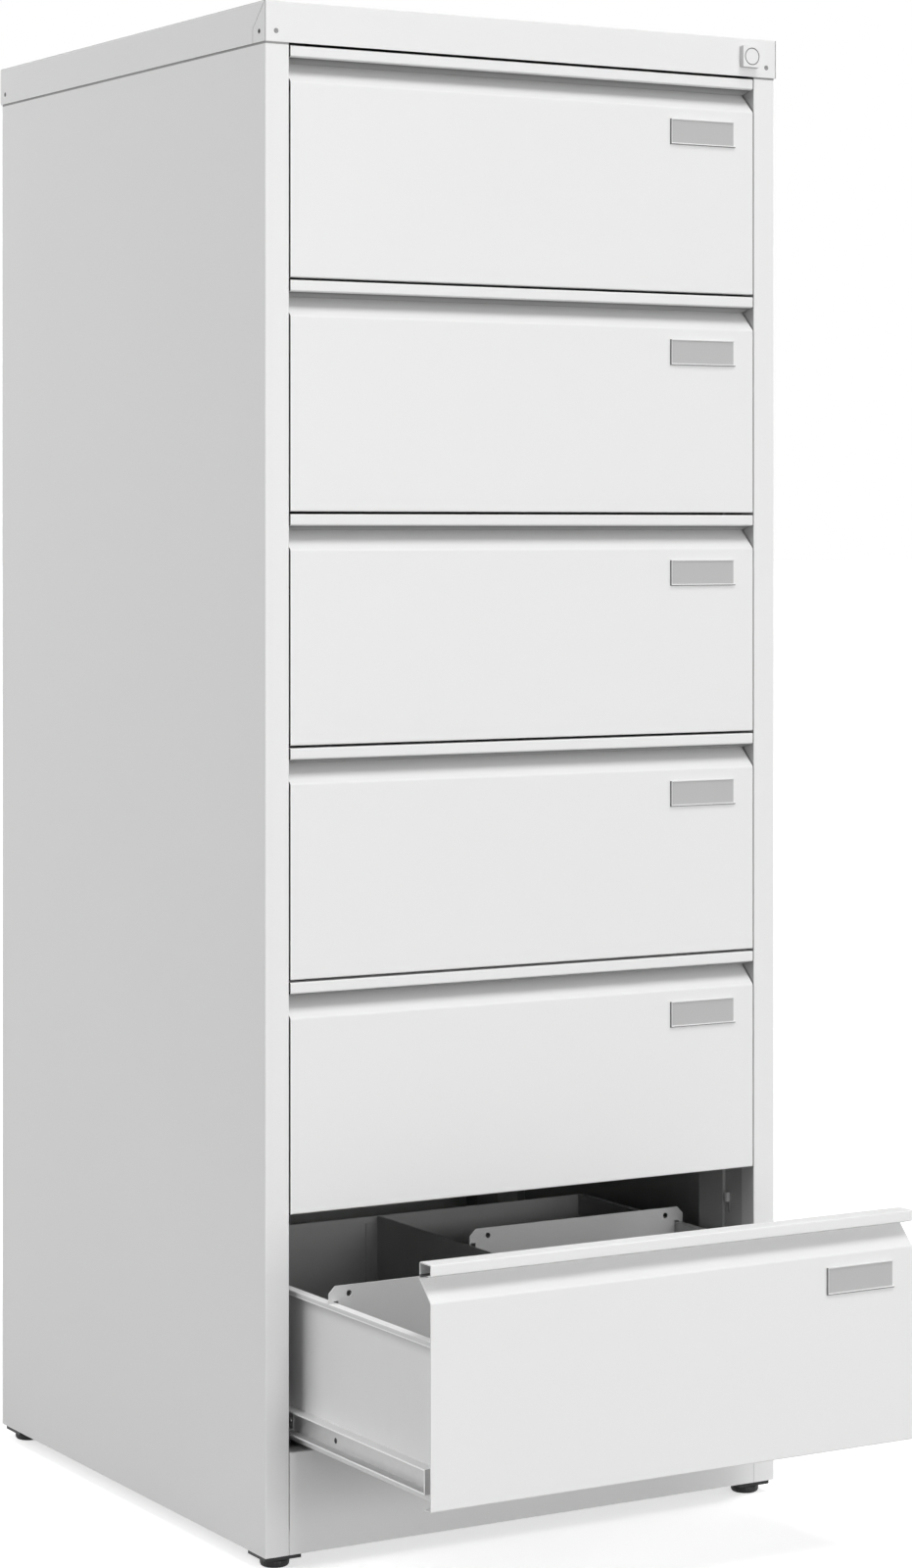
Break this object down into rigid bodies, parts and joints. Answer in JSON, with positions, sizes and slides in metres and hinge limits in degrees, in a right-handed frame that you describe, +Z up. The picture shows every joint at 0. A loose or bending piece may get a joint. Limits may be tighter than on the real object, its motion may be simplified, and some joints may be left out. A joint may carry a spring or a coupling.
{
  "type": "card index cabinet",
  "caption": "Upright steel cabinet of shallow two-lane drawers for index cards, with folded grips, label holders, card stops, telescopic runners, a central lock and levelling feet.",
  "frame": {"origin": "on the floor, under the middle of the cabinet body's footprint", "axes": "+X to the right as seen from the front, +Y to the back, +Z up"},
  "size_m": [0.517, 0.7815, 1.305],
  "materials": {
    "white_steel": "satin",
    "zinc_steel": "satin",
    "lock_metal": "satin",
    "grey_plastic": "satin",
    "black_plastic": "matte"
  },
  "bodies": {
    "cabinet": {"left_side_panel": "white_steel", "right_side_panel": "white_steel", "back_panel": "white_steel", "top_cover": "white_steel", "top_front_rail": "white_steel", "front_plinth": "white_steel", "bottom_pan": "white_steel", "front_uprights": "white_steel", "rear_uprights": "zinc_steel", "cabinet_runners": "zinc_steel", "lock_housing": "lock_metal", "corner_blocks": "black_plastic"},
    "lock_plug": {"lock_plug": "lock_metal"},
    "lock_bar": {"lock_bar": "zinc_steel"},
    "foot_front_left": {"foot_front_left": "black_plastic"},
    "foot_front_right": {"foot_front_right": "black_plastic"},
    "foot_rear_left": {"foot_rear_left": "black_plastic"},
    "foot_rear_right": {"foot_rear_right": "black_plastic"},
    "drawer_1": {"drawer_1_front": "white_steel", "drawer_1_tray": "white_steel", "drawer_1_label_holder": "grey_plastic", "drawer_1_rails": "zinc_steel"},
    "drawer_1_middle": {"drawer_1_middle_rails": "zinc_steel"},
    "drawer_1_card_stop_left": {"drawer_1_card_stop_left": "white_steel"},
    "drawer_1_card_stop_right": {"drawer_1_card_stop_right": "white_steel"},
    "drawer_2": {"drawer_2_front": "white_steel", "drawer_2_tray": "white_steel", "drawer_2_label_holder": "grey_plastic", "drawer_2_rails": "zinc_steel"},
    "drawer_2_middle": {"drawer_2_middle_rails": "zinc_steel"},
    "drawer_2_card_stop_left": {"drawer_2_card_stop_left": "white_steel"},
    "drawer_2_card_stop_right": {"drawer_2_card_stop_right": "white_steel"},
    "drawer_3": {"drawer_3_front": "white_steel", "drawer_3_tray": "white_steel", "drawer_3_label_holder": "grey_plastic", "drawer_3_rails": "zinc_steel"},
    "drawer_3_middle": {"drawer_3_middle_rails": "zinc_steel"},
    "drawer_3_card_stop_left": {"drawer_3_card_stop_left": "white_steel"},
    "drawer_3_card_stop_right": {"drawer_3_card_stop_right": "white_steel"},
    "drawer_4": {"drawer_4_front": "white_steel", "drawer_4_tray": "white_steel", "drawer_4_label_holder": "grey_plastic", "drawer_4_rails": "zinc_steel"},
    "drawer_4_middle": {"drawer_4_middle_rails": "zinc_steel"},
    "drawer_4_card_stop_left": {"drawer_4_card_stop_left": "white_steel"},
    "drawer_4_card_stop_right": {"drawer_4_card_stop_right": "white_steel"},
    "drawer_5": {"drawer_5_front": "white_steel", "drawer_5_tray": "white_steel", "drawer_5_label_holder": "grey_plastic", "drawer_5_rails": "zinc_steel"},
    "drawer_5_middle": {"drawer_5_middle_rails": "zinc_steel"},
    "drawer_5_card_stop_left": {"drawer_5_card_stop_left": "white_steel"},
    "drawer_5_card_stop_right": {"drawer_5_card_stop_right": "white_steel"},
    "drawer_6": {"drawer_6_front": "white_steel", "drawer_6_tray": "white_steel", "drawer_6_label_holder": "grey_plastic", "drawer_6_rails": "zinc_steel"},
    "drawer_6_middle": {"drawer_6_middle_rails": "zinc_steel"},
    "drawer_6_card_stop_left": {"drawer_6_card_stop_left": "white_steel"},
    "drawer_6_card_stop_right": {"drawer_6_card_stop_right": "white_steel"}
  },
  "joints": [
    {"name": "foot_front_left_screw", "type": "slide", "parent": "cabinet", "child": "foot_front_left", "axis": [0, 0, -1], "range_m": [0, 0.01]},
    {"name": "foot_front_right_screw", "type": "slide", "parent": "cabinet", "child": "foot_front_right", "axis": [0, 0, -1], "range_m": [0, 0.01]},
    {"name": "foot_rear_left_screw", "type": "slide", "parent": "cabinet", "child": "foot_rear_left", "axis": [0, 0, -1], "range_m": [0, 0.01]},
    {"name": "foot_rear_right_screw", "type": "slide", "parent": "cabinet", "child": "foot_rear_right", "axis": [0, 0, -1], "range_m": [0, 0.01]},
    {"name": "drawer_1_slide", "type": "slide", "parent": "cabinet", "child": "drawer_1", "axis": [0, -1, 0], "range_m": [0, 0.4]},
    {"name": "drawer_1_middle_slide", "type": "slide", "parent": "cabinet", "child": "drawer_1_middle", "axis": [0, -1, 0], "range_m": [0, 0.2]},
    {"name": "drawer_1_left_stop_slide", "type": "slide", "parent": "drawer_1", "child": "drawer_1_card_stop_left", "axis": [0, 1, 0], "range_m": [-0.15, 0.3]},
    {"name": "drawer_1_right_stop_slide", "type": "slide", "parent": "drawer_1", "child": "drawer_1_card_stop_right", "axis": [0, 1, 0], "range_m": [-0.3, 0.142]},
    {"name": "drawer_2_slide", "type": "slide", "parent": "cabinet", "child": "drawer_2", "axis": [0, -1, 0], "range_m": [0, 0.4]},
    {"name": "drawer_2_middle_slide", "type": "slide", "parent": "cabinet", "child": "drawer_2_middle", "axis": [0, -1, 0], "range_m": [0, 0.2]},
    {"name": "drawer_2_left_stop_slide", "type": "slide", "parent": "drawer_2", "child": "drawer_2_card_stop_left", "axis": [0, 1, 0], "range_m": [-0.15, 0.3]},
    {"name": "drawer_2_right_stop_slide", "type": "slide", "parent": "drawer_2", "child": "drawer_2_card_stop_right", "axis": [0, 1, 0], "range_m": [-0.3, 0.142]},
    {"name": "drawer_3_slide", "type": "slide", "parent": "cabinet", "child": "drawer_3", "axis": [0, -1, 0], "range_m": [0, 0.4]},
    {"name": "drawer_3_middle_slide", "type": "slide", "parent": "cabinet", "child": "drawer_3_middle", "axis": [0, -1, 0], "range_m": [0, 0.2]},
    {"name": "drawer_3_left_stop_slide", "type": "slide", "parent": "drawer_3", "child": "drawer_3_card_stop_left", "axis": [0, 1, 0], "range_m": [-0.15, 0.3]},
    {"name": "drawer_3_right_stop_slide", "type": "slide", "parent": "drawer_3", "child": "drawer_3_card_stop_right", "axis": [0, 1, 0], "range_m": [-0.3, 0.142]},
    {"name": "drawer_4_slide", "type": "slide", "parent": "cabinet", "child": "drawer_4", "axis": [0, -1, 0], "range_m": [0, 0.4]},
    {"name": "drawer_4_middle_slide", "type": "slide", "parent": "cabinet", "child": "drawer_4_middle", "axis": [0, -1, 0], "range_m": [0, 0.2]},
    {"name": "drawer_4_left_stop_slide", "type": "slide", "parent": "drawer_4", "child": "drawer_4_card_stop_left", "axis": [0, 1, 0], "range_m": [-0.15, 0.3]},
    {"name": "drawer_4_right_stop_slide", "type": "slide", "parent": "drawer_4", "child": "drawer_4_card_stop_right", "axis": [0, 1, 0], "range_m": [-0.3, 0.142]},
    {"name": "drawer_5_slide", "type": "slide", "parent": "cabinet", "child": "drawer_5", "axis": [0, -1, 0], "range_m": [0, 0.4]},
    {"name": "drawer_5_middle_slide", "type": "slide", "parent": "cabinet", "child": "drawer_5_middle", "axis": [0, -1, 0], "range_m": [0, 0.2]},
    {"name": "drawer_5_left_stop_slide", "type": "slide", "parent": "drawer_5", "child": "drawer_5_card_stop_left", "axis": [0, 1, 0], "range_m": [-0.15, 0.3]},
    {"name": "drawer_5_right_stop_slide", "type": "slide", "parent": "drawer_5", "child": "drawer_5_card_stop_right", "axis": [0, 1, 0], "range_m": [-0.3, 0.142]},
    {"name": "drawer_6_slide", "type": "slide", "parent": "cabinet", "child": "drawer_6", "axis": [0, -1, 0], "range_m": [-0.234, 0.166]},
    {"name": "drawer_6_middle_slide", "type": "slide", "parent": "cabinet", "child": "drawer_6_middle", "axis": [0, -1, 0], "range_m": [-0.117, 0.083]},
    {"name": "drawer_6_left_stop_slide", "type": "slide", "parent": "drawer_6", "child": "drawer_6_card_stop_left", "axis": [0, 1, 0], "range_m": [-0.15, 0.3]},
    {"name": "drawer_6_right_stop_slide", "type": "slide", "parent": "drawer_6", "child": "drawer_6_card_stop_right", "axis": [0, 1, 0], "range_m": [-0.3, 0.142]},
    {"name": "lock_turn", "type": "hinge", "parent": "cabinet", "child": "lock_plug", "pos_m": [0.2289, -0.2735, 1.2885], "axis": [0, 1, 0], "range_deg": [0, 90]},
    {"name": "lock_bar_slide", "type": "slide", "parent": "cabinet", "child": "lock_bar", "axis": [0, 0, -1], "range_m": [0, 0.009]}
  ],
  "couplings": [
    {"joint": "drawer_1_middle_slide", "follows": "drawer_1_slide", "ratio": 0.5},
    {"joint": "drawer_2_middle_slide", "follows": "drawer_2_slide", "ratio": 0.5},
    {"joint": "drawer_3_middle_slide", "follows": "drawer_3_slide", "ratio": 0.5},
    {"joint": "drawer_4_middle_slide", "follows": "drawer_4_slide", "ratio": 0.5},
    {"joint": "drawer_5_middle_slide", "follows": "drawer_5_slide", "ratio": 0.5},
    {"joint": "drawer_6_middle_slide", "follows": "drawer_6_slide", "ratio": 0.5},
    {"joint": "lock_turn", "follows": "lock_bar_slide", "rad_per_m": 174.53}
  ]
}
